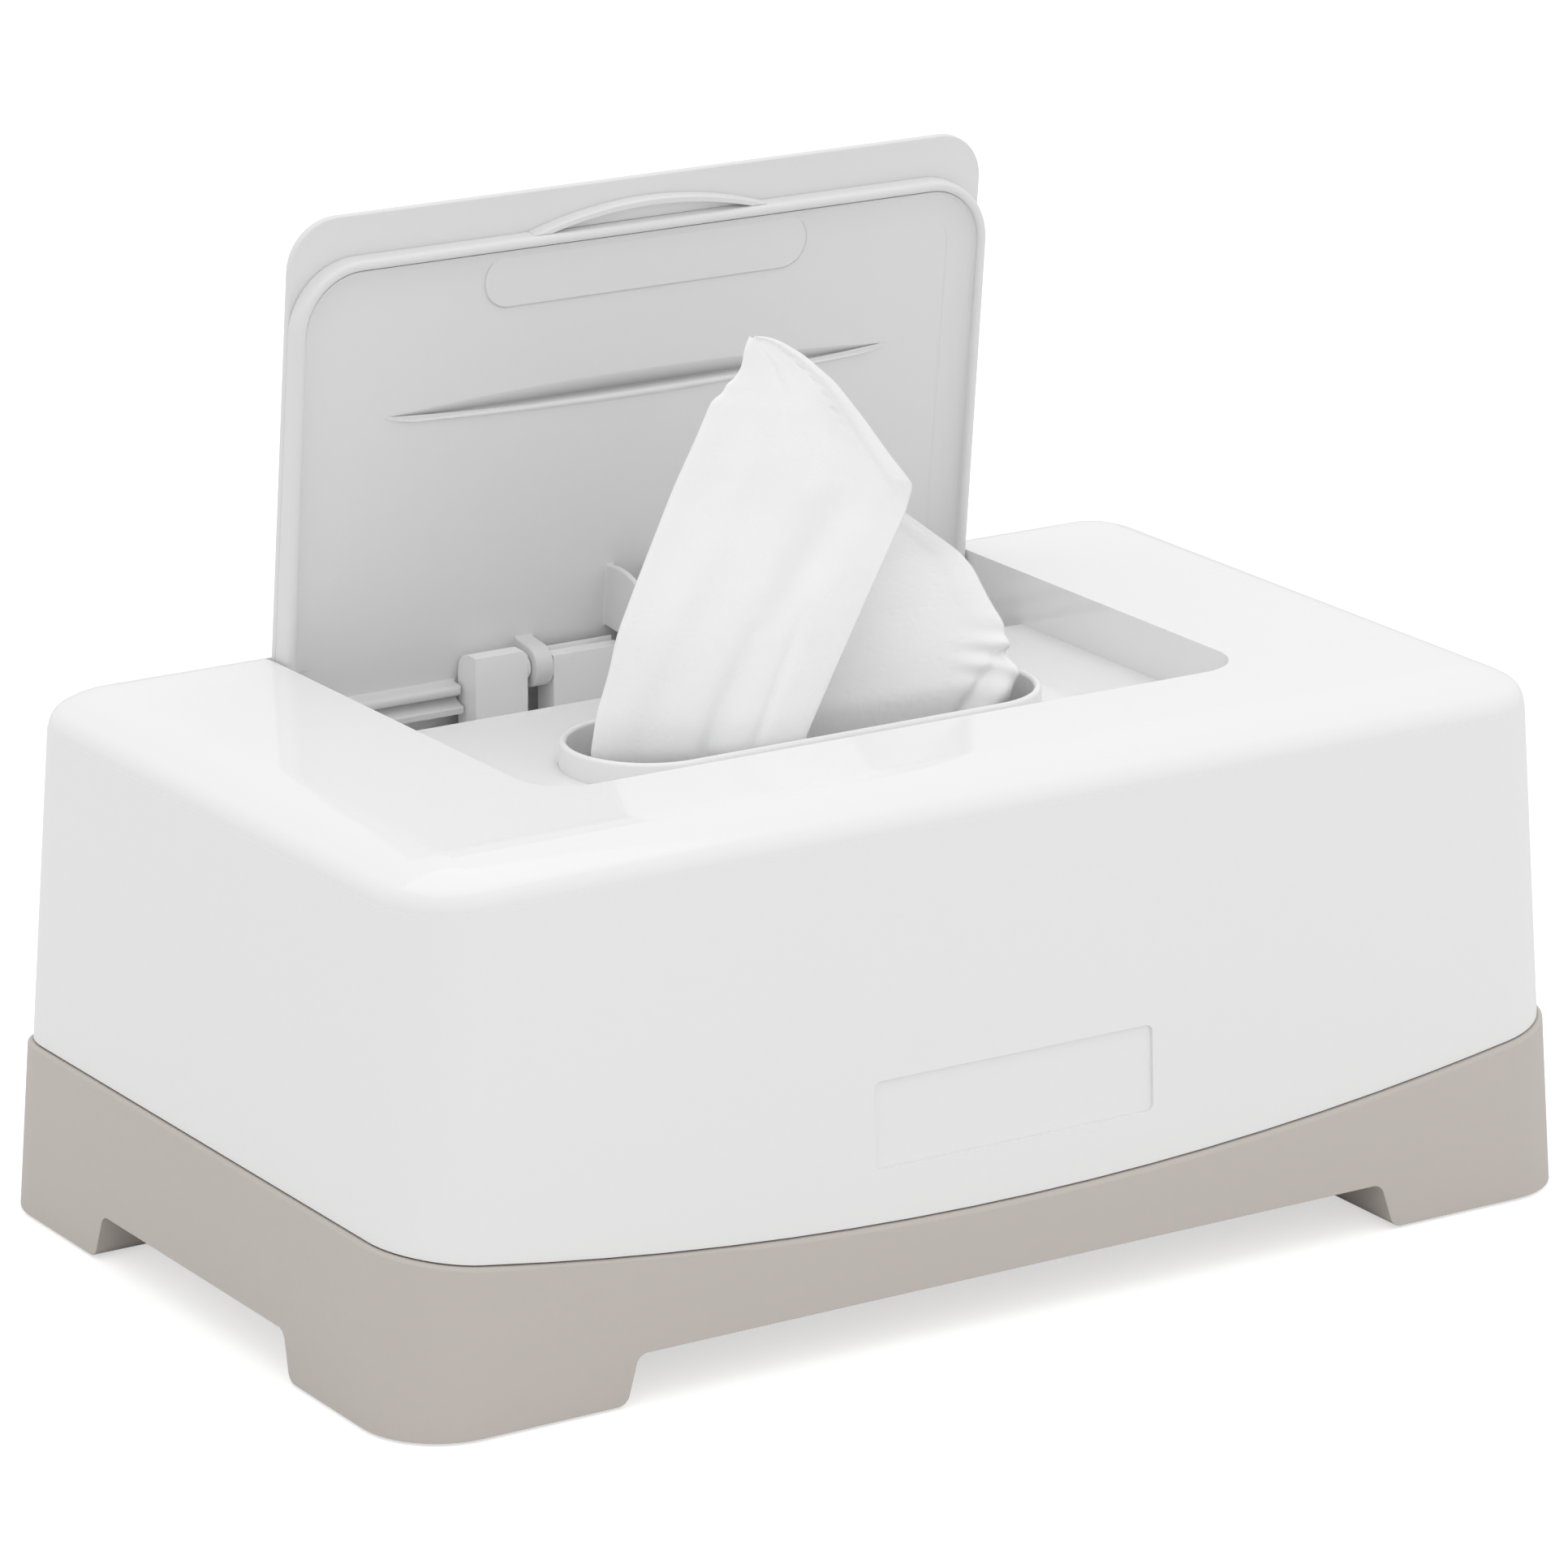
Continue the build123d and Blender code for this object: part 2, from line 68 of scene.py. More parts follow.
def softened_copy(node_name, piece_name, edge_round, cut_out=None, full_round=None):
    """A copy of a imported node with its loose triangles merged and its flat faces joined.

    Every edge that turns more than 35 degrees gets a small round, as the mould's own edges have, and the
    shading of each face then follows the larger face beside it. Points that cut_out picks are left out.
    Edges whose two ends full_round picks get the whole edge_round, and the other edges 0.4 of it.
    """
    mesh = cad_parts[node_name].data.copy()
    mesh.name = piece_name
    mesh.materials.clear()
    work = bmesh.new()
    work.from_mesh(mesh)
    bmesh.ops.remove_doubles(work, verts=work.verts, dist=merge_distance)
    bmesh.ops.dissolve_limit(work, angle_limit=flat_turn, verts=work.verts, edges=work.edges)
    if cut_out is not None:
        bmesh.ops.delete(work, geom=[point for point in work.verts if cut_out(point.co)], context="VERTS")
    share = work.edges.layers.float.new("bevel_weight_edge")
    for edge in work.edges:
        if len(edge.link_faces) == 2 and edge.calc_face_angle(0.0) > sharp_turn:
            whole = full_round is None or all(full_round(point.co) for point in edge.verts)
            edge[share] = 1.0 if whole else lesser_round
    work.to_mesh(mesh)
    work.free()
    mesh.shade_smooth()
    piece = bpy.data.objects.new(piece_name, mesh)
    bpy.context.collection.objects.link(piece)
    rounded = piece.modifiers.new("edge_round", "BEVEL")
    rounded.width = edge_round
    rounded.segments = 3
    rounded.limit_method = "WEIGHT"
    rounded.use_clamp_overlap = full_round is None
    shading = piece.modifiers.new("face_shading", "WEIGHTED_NORMAL")
    shading.mode = "FACE_AREA"
    shading.weight = 60
    shading.keep_sharp = True
    return piece


def new_material(name):
    """A new node material; returns it, its nodes, its links and its surface shader."""
    material = bpy.data.materials.new(name)
    material.use_nodes = True
    nodes, links = material.node_tree.nodes, material.node_tree.links
    return material, nodes, links, nodes["Principled BSDF"]


def object_place(nodes):
    """The place of a point on the object, in metres, which the patterns are laid over."""
    return nodes.new("ShaderNodeTexCoord").outputs["Object"]


def between(nodes, links, fac, low, high):
    """A colour that runs from low to high as fac goes from 0 to 1."""
    mix = nodes.new("ShaderNodeMix")
    mix.data_type = "RGBA"
    mix.inputs["A"].default_value = (*low, 1)
    mix.inputs["B"].default_value = (*high, 1)
    links.new(fac, mix.inputs["Factor"])
    return mix.outputs["Result"]


def ranged(nodes, links, value, low, high, start=0.3, stop=0.7):
    """A value carried from start..stop to low..high."""
    span = nodes.new("ShaderNodeMapRange")
    span.inputs["From Min"].default_value = start
    span.inputs["From Max"].default_value = stop
    span.inputs["To Min"].default_value = low
    span.inputs["To Max"].default_value = high
    links.new(value, span.inputs["Value"])
    return span.outputs["Result"]


def grain(nodes, links, vector, scale, detail=2.0):
    """Noise over a vector, at a scale in repeats per metre."""
    noise = nodes.new("ShaderNodeTexNoise")
    noise.inputs["Scale"].default_value = scale
    noise.inputs["Detail"].default_value = detail
    links.new(vector, noise.inputs["Vector"])
    return noise.outputs["Fac"]


def raised(nodes, links, height, distance, strength, under=None):
    """A bump of the given depth in metres, over another bump if there is one."""
    bump = nodes.new("ShaderNodeBump")
    bump.inputs["Distance"].default_value = distance
    bump.inputs["Strength"].default_value = strength
    links.new(height, bump.inputs["Height"])
    if under is not None:
        links.new(under, bump.inputs["Normal"])
    return bump.outputs["Normal"]


def surfaced(links, shader, colour, roughness, normal):
    """Joins a colour, a roughness and a bump to a surface shader."""
    links.new(colour, shader.inputs["Base Color"])
    links.new(roughness, shader.inputs["Roughness"])
    links.new(normal, shader.inputs["Normal"])


def moulded_plastic(name, shades, roughness, skin_scale, skin_depth, specular=0.5):
    """Moulded plastic: a faint drift of tone, a roughness that wanders, and the fine skin of the mould."""
    drift_scale, handling_scale, skin_strength = 9.0, 22.0, 0.35
    material, nodes, links, shader = new_material(name)
    place = object_place(nodes)
    drift = ranged(nodes, links, grain(nodes, links, place, drift_scale), 0, 1, start=0.0, stop=1.0)
    handled = grain(nodes, links, place, handling_scale, detail=3.0)
    skin = grain(nodes, links, place, skin_scale)
    surfaced(links, shader, between(nodes, links, drift, *shades),
             ranged(nodes, links, handled, *roughness, start=0.0, stop=1.0),
             raised(nodes, links, skin, skin_depth, skin_strength))
    shader.inputs["Specular IOR Level"].default_value = specular
    return material


tray_shades = [(0.575, 0.530, 0.492), (0.595, 0.549, 0.510)]
tray_plastic = moulded_plastic("tray_warm_grey_plastic", tray_shades, roughness=(0.48, 0.60),
                               skin_scale=2600.0, skin_depth=0.00006, specular=0.35)
tray = softened_copy("base_tray", "tray", edge_round=0.0005)
tray.data.materials.append(tray_plastic)
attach(tray, "base")
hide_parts("base_tray")


# Foot pads: four discs of soft grey rubber pressed into the feet, half a millimetre proud of them.
# The rubber is dry and finely rough, with a little dust on it.

pad_rubber, nodes, links, shader = new_material("foot_pad_rubber")
place = object_place(nodes)
dust = grain(nodes, links, place, 500.0, detail=4.0)
dusted = between(nodes, links, ranged(nodes, links, dust, 0, 1), (0.27, 0.262, 0.254), (0.33, 0.320, 0.310))
surfaced(links, shader, dusted, ranged(nodes, links, dust, 0.65, 0.85),
         raised(nodes, links, grain(nodes, links, place, 1800.0), distance=0.0001, strength=0.5))
for corner in ("front_left", "front_right", "back_left", "back_right"):
    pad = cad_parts[f"foot_pad_{corner}"]
    pad.data.materials.clear()
    pad.data.materials.append(pad_rubber)


# Stack of wipes: moist nonwoven sheets, each folded in three, lying on each other in the tray. The folds
# show as soft ridges down the sides, and the top sheet is a little uneven.

def grid_piece(name, surface, loop=False, smooth=True):
    """A piece from an array of points, rows by columns by xyz: one quad between each four neighbours.

    With loop, the last column joins the first, as round a closed path.
    """
    rows, columns = surface.shape[:2]
    index = np.arange(rows * columns).reshape(rows, columns)
    if loop:
        index = np.concatenate([index, index[:, :1]], axis=1)
    quads = np.stack([index[:-1, :-1], index[:-1, 1:], index[1:, 1:], index[1:, :-1]], axis=-1)
    mesh = bpy.data.meshes.new(name)
    mesh.from_pydata(surface.reshape(-1, 3), [], quads.reshape(-1, 4))
    uv = mesh.uv_layers.new(name="flat")
    down, across = np.meshgrid(np.linspace(0, 1, rows), np.linspace(0, 1, index.shape[1]), indexing="ij")
    flat = np.stack([across, down], axis=-1)
    corners = np.stack([flat[:-1, :-1], flat[:-1, 1:], flat[1:, 1:], flat[1:, :-1]], axis=2)
    uv.data.foreach_set("uv", corners.reshape(-1).astype(np.float32))
    if smooth:
        mesh.shade_smooth()
    piece = bpy.data.objects.new(name, mesh)
    bpy.context.collection.objects.link(piece)
    return piece


def face_out(piece):
    """Merges the doubled points of a closed piece, as at its poles, and turns its faces outwards."""
    work = bmesh.new()
    work.from_mesh(piece.data)
    bmesh.ops.remove_doubles(work, verts=work.verts, dist=merge_distance / 2)
    bmesh.ops.recalc_face_normals(work, faces=work.faces)
    work.to_mesh(piece.data)
    work.free()
    piece.data.shade_smooth()


def rounded_rectangle(half_x, half_y, corner, count):
    """Points round a rectangle with round corners, as an array of count by two.

    Each point starts on a superellipse of the tenth power with a half width of 1. Times the corner's radius,
    it is added to its like on the smaller rectangle that joins the centres of the corners.
    """
    power, overshoot = 10.0, 1.02
    t = np.linspace(0, 2 * pi, count, endpoint=False) + pi / count
    reach = (np.abs(np.cos(t))**power + np.abs(np.sin(t))**power) ** (-1 / power)
    square = np.stack([np.cos(t) * reach, np.sin(t) * reach], axis=-1)
    core = np.array([half_x - corner, half_y - corner])
    return np.sign(square) * np.minimum(np.abs(square) * overshoot, 1) * core + corner * square


def folded_stack(half, sheets, corner):
    """Surface of a stack about its middle: rings from the centre of the top, down the sides, to the bottom.

    The sides stand in by 1.2 mm, less 0.7 mm times the size of a sine that makes one hump for each sheet.
    The rings of the top and bottom shrink evenly to their centre, and fall back by 0.75 mm times the sixth
    power of the share of the way out. The plan is drawn in by 0.2%, and the sides wander by as much with a
    product of two sines. One plus such a product, times 0.6 mm, sinks the flat of the top.
    """
    side_in, ripple, edge_drop = 0.0012, 0.0007, 0.00075
    side_share, flat_share = 0.985, 0.99
    wander_share, sink = 0.002, 0.0006
    ring_points, cap_rings, rings_a_sheet = 360, 23, 6
    path = rounded_rectangle(half[0], half[1], corner, ring_points)
    side_rings = sheets * rings_a_sheet + 1
    inward = side_in - ripple * np.abs(np.sin(np.linspace(0, sheets * pi, side_rings)))
    edge_in = np.concatenate([np.full(cap_rings, inward[0]), inward, np.full(cap_rings, inward[-1])])
    cap = np.linspace(0.0, 1.0, cap_rings + 1)[:-1]
    size = np.concatenate([cap, np.ones(side_rings), cap[::-1]])
    cap_level = half[2] - edge_drop * cap**6
    side_level = np.linspace(1, -1, side_rings) * half[2] * side_share
    level = np.concatenate([cap_level, side_level, -cap_level[::-1]])[:, None]
    along = np.roll(path, -1, axis=0) - np.roll(path, 1, axis=0)
    out = np.stack([along[:, 1], -along[:, 0]], axis=-1) / np.linalg.norm(along, axis=-1, keepdims=True)
    spread = (path - out * edge_in[:, None, None]) * size[:, None, None]
    wander = np.sin(90 * path[:, 0] + 800 * level) * np.sin(70 * path[:, 1] - 600 * level)
    on_side = (size == 1)[:, None]
    spread = spread * (1 + wander_share * (wander * on_side - 1))[..., None]
    uneven = 1 + np.sin(55 * spread[..., 0]) * np.cos(48 * spread[..., 1] + 1)
    height = level - sink * uneven * (level > half[2] * flat_share)
    return np.concatenate([spread, height[..., None]], axis=-1)


def grey(value):
    """A neutral colour."""
    return (value, value, value)


def wipe_fabric(name, pattern_scale, uv_name=None):
    """Nonwoven fabric: crossed fibres, soft clumps of tone and a fine pressed pattern.

    The fibres are noise stretched two ways, and the greater of the two shows. The pattern is laid over the
    named UV layer, or over the object where none is named.
    """
    fibre_scale, clump_scale, relief = 320.0, 90.0, 0.00012
    fibre_lays = (((1.0, 9.0, 1.0), 0.35), ((9.0, 1.0, 1.0), -0.2))
    material, nodes, links, shader = new_material(name)
    place = object_place(nodes)
    crossed = nodes.new("ShaderNodeMath")
    crossed.operation = "MAXIMUM"
    for lay, (stretch, turn) in enumerate(fibre_lays):
        laid = nodes.new("ShaderNodeMapping")
        laid.inputs["Scale"].default_value = stretch
        laid.inputs["Rotation"].default_value = (0.2, 0.1, turn)
        links.new(place, laid.inputs["Vector"])
        links.new(grain(nodes, links, laid.outputs["Vector"], fibre_scale, detail=4.0), crossed.inputs[lay])
    fibres = crossed.outputs["Value"]
    clumps = ranged(nodes, links, grain(nodes, links, place, clump_scale, detail=3.0), 0, 1)
    pressed = nodes.new("ShaderNodeTexVoronoi")
    pressed.inputs["Scale"].default_value = pattern_scale
    if uv_name:
        layer = nodes.new("ShaderNodeUVMap")
        layer.uv_map = uv_name
        links.new(layer.outputs["UV"], pressed.inputs["Vector"])
    else:
        links.new(place, pressed.inputs["Vector"])
    spots = ranged(nodes, links, pressed.outputs["Distance"], 0, 1, start=0.1, stop=0.45)
    under = raised(nodes, links, spots, relief, strength=0.25)
    surfaced(links, shader, between(nodes, links, clumps, grey(0.945), grey(0.965)),
             ranged(nodes, links, fibres, 0.78, 0.95), raised(nodes, links, fibres, relief, 0.3, under))
    shader.inputs["Specular IOR Level"].default_value = 0.2
    shader.inputs["Sheen Weight"].default_value = 0.15
    shader.inputs["Sheen Roughness"].default_value = 0.5
    return material


low, high = (np.array(corner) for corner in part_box("wipes_stack"))
surface = folded_stack((high - low) / 2, sheets=22, corner=0.004) + (low + high) / 2
stack = grid_piece("stack_of_wipes", surface, loop=True)
face_out(stack)
stack.data.materials.append(wipe_fabric("stacked_wipe_fabric", pattern_scale=420.0))
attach(stack, "base")
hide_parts("wipes_stack")


# Shell: one moulding in gloss white plastic with the sunk deck, the hinge's well and the bare front panel.
# It stands in the tray over a tongue and lifts off it, and its edges have the mould's small round.

def cover_piece(piece, stands_for, plastic):
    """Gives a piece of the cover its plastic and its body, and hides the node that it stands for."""
    piece.data.materials.append(plastic)
    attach(piece, "cover")
    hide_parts(stands_for)


shell_plastic = moulded_plastic("shell_white_gloss_plastic", shades=[grey(0.885), grey(0.893)],
                                roughness=(0.045, 0.075), skin_scale=1500.0, skin_depth=0.00002)
shell = softened_copy("upper_shell", "shell", edge_round=0.0005)
cover_piece(shell, "upper_shell", shell_plastic)


# Collar: a long oval ring of the shell's own gloss white plastic, pushed up through the deck's floor. The
# wipes are pulled through it, and its rim is rolled over, so that it doesn't tear them.

def oval(length, width, count):
    """Points evenly round a long oval of two half circles joined by straights, as centres and directions.

    The distance round the path turns the direction along each half circle, and moves the centre along each
    straight. A point of the oval lies half a width out from its centre.
    """
    radius = width / 2
    straight = length / 2 - radius
    arc = pi * radius
    s = np.linspace(0, 2 * arc + 4 * straight, count, endpoint=False)
    right = np.clip(s / arc, 0, 1)
    left = np.clip((s - arc - 2 * straight) / arc, 0, 1)
    angle = -pi / 2 + pi * right + pi * left
    back_run = np.clip(s - arc, 0, 2 * straight)
    front_run = np.clip(s - 2 * arc - 2 * straight, 0, 2 * straight)
    centres = np.stack([straight - back_run + front_run, np.zeros(count)], axis=-1)
    return centres, np.stack([np.cos(angle), np.sin(angle)], axis=-1)


def carried(centres, out, reach, height):
    """A profile carried round a path: each of its points lies its own reach out from the path's centres."""
    plan = centres[None] + out[None] * reach[:, None, None]
    level = np.broadcast_to(height[:, None, None], plan.shape[:2] + (1,))
    return np.concatenate([plan, level], axis=-1)


flange, flange_thick, wall = 0.003, 0.0018, 0.0015
low, high = (np.array(corner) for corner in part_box("dispensing_collar"))
length, width = high[0] - low[0] - 2 * flange, high[1] - low[1] - 2 * flange
foot_z, rim_z = low[2], high[2] - wall / 2
roll = np.linspace(0, pi, 13)

# Each point of the profile has how far it stands out from the wall's outer face, and its height.
profile = np.concatenate([
    [[flange, foot_z], [flange, foot_z + flange_thick], [0.0, foot_z + flange_thick]],
    np.stack([-wall / 2 + wall / 2 * np.cos(roll), rim_z + wall / 2 * np.sin(roll)], axis=-1),
    [[-wall, foot_z], [flange, foot_z]],
])
centres, out = oval(length, width, count=240)
centres = centres + (low + high)[:2] / 2
surface = carried(centres, out, width / 2 + profile[:, 0], profile[:, 1])
collar = grid_piece("collar", surface, loop=True)
face_out(collar)
crisp = collar.modifiers.new("edge_round", "BEVEL")
crisp.width = 0.0003
crisp.segments = 2
crisp.limit_method = "ANGLE"
crisp.angle_limit = radians(50)
cover_piece(collar, "dispensing_collar", shell_plastic)


# Hinge carrier: a moulded white plastic strip screwed to the well's floor, with two posts for the pins and
# two knuckle blocks for the rod that carries the spring. The pins are moulded in the same plastic.

carrier_plastic = moulded_plastic("carrier_white_plastic", shades=[grey(0.955), grey(0.965)],
                                  roughness=(0.22, 0.30), skin_scale=1500.0, skin_depth=0.00003)
for node_name, piece_name in (
    ("hinge_carrier", "carrier"),
    ("hinge_pin_left", "pin_left"),
    ("hinge_pin_right", "pin_right"),
):
    piece = softened_copy(node_name, piece_name, edge_round=0.0003)
    cover_piece(piece, node_name, carrier_plastic)


# Screws, rod and spring: plain steel, the rod drawn, the wire wound, both with faint lines along them.

steel, nodes, links, shader = new_material("drawn_steel")
drawn = nodes.new("ShaderNodeMapping")
drawn.inputs["Scale"].default_value = (1.0, 14.0, 14.0)
links.new(object_place(nodes), drawn.inputs["Vector"])
lines = grain(nodes, links, drawn.outputs["Vector"], 260.0, detail=4.0)
surfaced(links, shader,
         between(nodes, links, ranged(nodes, links, lines, 0, 1), (0.50, 0.50, 0.51), (0.62, 0.62, 0.63)),
         ranged(nodes, links, lines, 0.22, 0.38),
         raised(nodes, links, lines, distance=0.00002, strength=0.4))
shader.inputs["Metallic"].default_value = 1.0
for node_name in ("carrier_screws", "spring_rod"):
    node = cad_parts[node_name]
    node.data.materials.clear()
    node.data.materials.append(steel)

hinge_y, hinge_z = 0.0526, 0.0912
spring = softened_copy("lid_spring", "spring", edge_round=0.0001)
spring.data.materials.append(steel)
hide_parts("lid_spring")
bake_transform(spring)


# Lid: an outer skin curled round the hinge, an inner frame with the walls, lugs and gusset fixed under it,
# and a thumb tab. All are moulded in the same white plastic, less glossy than the shell.

lid_plastic = moulded_plastic("lid_white_plastic", shades=[grey(0.790), grey(0.798)],
                              roughness=(0.36, 0.46), skin_scale=1500.0, skin_depth=0.00002)

# The places below are those of the shut lid.
open_angle = radians(84.0)
rim_front_y, rim_front_z = -0.0374, 0.0935
rim_back_y, rim_back_z = 0.0607, 0.0921
groove_front, groove_back, groove_floor_z = -0.0006, 0.0034, 0.0965


def shut_place(point):
    """Depth and height, in y and z, that a point of the open lid has with the lid shut."""
    y, z = point[1] - hinge_y, point[2] - hinge_z
    return (hinge_y + y * cos(open_angle) - z * sin(open_angle),
            hinge_z + y * sin(open_angle) + z * cos(open_angle))


def in_groove(point):
    """Whether a point lies on the floor of the finger groove, to 0.03 mm in height."""
    margin, close = 0.001, 3e-5
    y, z = shut_place(point)
    return abs(z - groove_floor_z) < close and groove_front - margin < y < groove_back + margin


def on_rim(point):
    """Whether a point lies on the free rim of the frame's walls, to 0.06 mm in height."""
    close = 6e-5
    y, z = shut_place(point)
    level = rim_front_z + (y - rim_front_y) * (rim_back_z - rim_front_z) / (rim_back_y - rim_front_y)
    return abs(z - level) < close


def lid_piece(piece, *stands_for, plastic=lid_plastic):
    """Gives a piece of the lid its plastic and its body, and hides the nodes it stands for, if any."""
    piece.data.materials.append(plastic)
    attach(piece, "lid")
    if stands_for:
        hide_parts(*stands_for)


lid_piece(softened_copy("lid_skin", "skin", edge_round=0.0004), "lid_skin")
lid_piece(softened_copy("lid_frame", "frame", edge_round=0.0009, cut_out=in_groove, full_round=on_rim),
          "lid_frame")
lid_piece(softened_copy("latch_tab", "tab", edge_round=0.0003), "latch_tab")


# Finger groove: part of the frame's own moulding, a long lens sunk in the plate inside the lid. It falls in
# slowly from its front edge and comes out steeply over a rounded ridge.

plate_z = 0.0956
groove_half = 0.053


def opened(surface):
    """An array of points of the shut lid, turned open about the hinge."""
    y, z = surface[..., 1] - hinge_y, surface[..., 2] - hinge_z
    return np.stack([surface[..., 0], hinge_y + y * cos(open_angle) + z * sin(open_angle),
                     hinge_z - y * sin(open_angle) + z * cos(open_angle)], axis=-1)


def finger_groove(along, across):
    """Surface of the groove in the shut lid, and how deep each of its points lies, from 0 to 1.

    Along the groove, from -1 to 1, its width follows a parabola and its depth half an ellipse. Across it,
    from 0 to 1, straight runs lead down to the deepest line and back up, and half a sine makes the ridge.
    """
    depth, ridge_height, ridge_wide, end_fade = 0.00150, 0.00060, 0.0011, 0.10
    end_lap, side_lap, clear = 1.02, 0.00012, 0.00002
    half_wide = (groove_back - groove_front) / 2 * (1 - along**2) + side_lap
    fade = np.clip((1 - np.abs(along)) / end_fade, 0, 1) ** 0.6
    wide = 2 * half_wide + ridge_wide * fade
    down = np.interp(across, [0, 0.03, 0.66, 0.74, 1.0], [0, 0, 1, 0, 0])
    ridge = np.sin(pi * np.clip((across - 0.70) / 0.30, 0, 1)) ** 0.8
    deep = ((1 - along**2) ** 0.5)[:, None] * down[None]
    x = groove_half * end_lap * along
    y = ((groove_front + groove_back) / 2 - half_wide)[:, None] + wide[:, None] * across[None]
    z = plate_z - clear + depth * deep - ridge_height * fade[:, None] * ridge[None]
    return np.stack([np.broadcast_to(x[:, None], y.shape), y, z], axis=-1), deep


surface, deep = finger_groove(np.linspace(-1, 1, 161), np.linspace(0, 1, 41))
groove = grid_piece("finger_groove", opened(surface))
# The depth of each point is kept on the groove, to darken its colour with painted shade.
painted_shade_depth = groove.data.attributes.new("depth", "FLOAT", "POINT")
painted_shade_depth.data.foreach_set("value", deep.reshape(-1).astype(np.float32))
# The groove's base colour darkens from 0.80 to 0.40 grey as it gets deeper: painted shade, standing in for
# the shadow in the sunk groove.
groove_painted_shade_plastic, nodes, links, shader = new_material("groove_white_plastic_painted_shade")
place = object_place(nodes)
painted_shade = nodes.new("ShaderNodeAttribute")
painted_shade.attribute_name = "depth"
surfaced(links, shader, between(nodes, links, painted_shade.outputs["Fac"], grey(0.80), grey(0.40)),
         ranged(nodes, links, grain(nodes, links, place, 22.0, detail=1.0), 0.24, 0.34),
         raised(nodes, links, grain(nodes, links, place, 1500.0), distance=0.00002, strength=0.35))
lid_piece(groove, plastic=groove_painted_shade_plastic)


# Wall fillet: part of the frame's own moulding too, the soft round over which the walls run into the plate.
# It runs forward along the right side, round the front and back along the left side.

def wall_fillet(half_x, front_y, back_y, corner):
    """Surface of the fillet in the shut lid: a quarter of an ellipse carried round three sides of the plate.

    Each part of the path has the centre of its corner, or a row of such centres along a straight, and the
    angle that points from there to the wall.
    """
    cove_wide, cove_high, clear = 0.0056, 0.0018, 0.00002
    side_points, front_points, corner_points, bend_points = 40, 60, 23, 12
    centre_x, centre_y = half_x - corner, front_y + corner
    side_run = np.linspace(back_y, centre_y, side_points)
    front_run = np.linspace(centre_x, -centre_x, front_points)
    quarter = np.linspace(0, pi / 2, corner_points + 2)[1:-1]
    parts = (
        (centre_x, side_run, 0.0),
        (centre_x, centre_y, -quarter),
        (front_run, centre_y, -pi / 2),
        (-centre_x, centre_y, -pi / 2 - quarter),
        (-centre_x, side_run[::-1], -pi),
    )
    x, y, angle = np.concatenate([np.stack(np.broadcast_arrays(*part)) for part in parts], axis=1)
    bend = np.linspace(0, pi / 2, bend_points)
    inward, drop = cove_wide * (1 - np.cos(bend)), cove_high * (1 - np.sin(bend))
    return carried(np.stack([x, y], axis=-1), np.stack([np.cos(angle), np.sin(angle)], axis=-1),
                   corner + clear - inward, plate_z - clear - drop)


fillet = wall_fillet(half_x=0.0720, front_y=-0.0278, back_y=0.0480, corner=0.0110)
lid_piece(grid_piece("wall_fillet", opened(fillet)))


# Pulled wipe: one nonwoven sheet folded in two, drawn up through the collar. A tall leaf stands in front
# with its free edge on the right, and the sheet turns at the left and runs back behind it to the right.

# Each leaf is a grid: up runs from 0 at the stack to 1 at the top, and across from 0 at the fold to 1 at
# the far edge.
up = np.linspace(0, 1, 160)[:, None]
across = np.linspace(0, 1, 120)[None]


def drawn_line(stations, blend):
    """A line of straight runs through stations, each a share of the way up and then x, y, z in millimetres.

    Blend times over, each inner point becomes the mean of itself, counted twice, and its two neighbours.
    """
    shares, *places = np.array(stations, float).T
    line = np.stack([np.interp(up[:, 0], shares, place / 1000) for place in places], axis=-1)
    for _ in range(blend):
        line[1:-1] = (line[:-2] + 2 * line[1:-1] + line[2:]) / 4
    return line


def leaf(near_edge, far_edge):
    """A leaf stretched straight from its near edge to its far edge, row by row."""
    return near_edge[:, None] * (1 - across)[..., None] + far_edge[:, None] * across[..., None]


def up_table(shares, millimetres):
    """Lengths in millimetres at shares of the way up, joined by straight runs, as a column in metres."""
    return np.interp(up, shares, millimetres) / 1000


def ramp(value, start, length):
    """0 up to start, 1 from start plus length on, and a straight rise between them."""
    return np.clip((value - start) / length, 0, 1)


def hump(value, at, wide):
    """A bell: e to the power of minus the square of the distance from its middle, in widths."""
    return np.exp(-(((value - at) / wide) ** 2))


def billow(*waves):
    """A sum of sines over the leaf, each with a height in millimetres, its rates across and up, and a phase.

    The root of half a sine fades it to nothing at the leaf's two edges, and a ramp over its top quarter.
    """
    total = sum(height * np.sin(rate_across * across + rate_up * up + phase)
                for height, rate_across, rate_up, phase in waves)
    return total / 1000 * np.sin(pi * across) ** 0.5 * (1 - ramp(up, 0.75, 0.25))


def hem(start_across, start_up, thick):
    """A hem along the far edge: a smooth step, one over one plus an exponential, that a ramp brings in."""
    return thick / (1 + np.exp(-(across - start_across) / 0.008)) * ramp(up, start_up, 0.03)


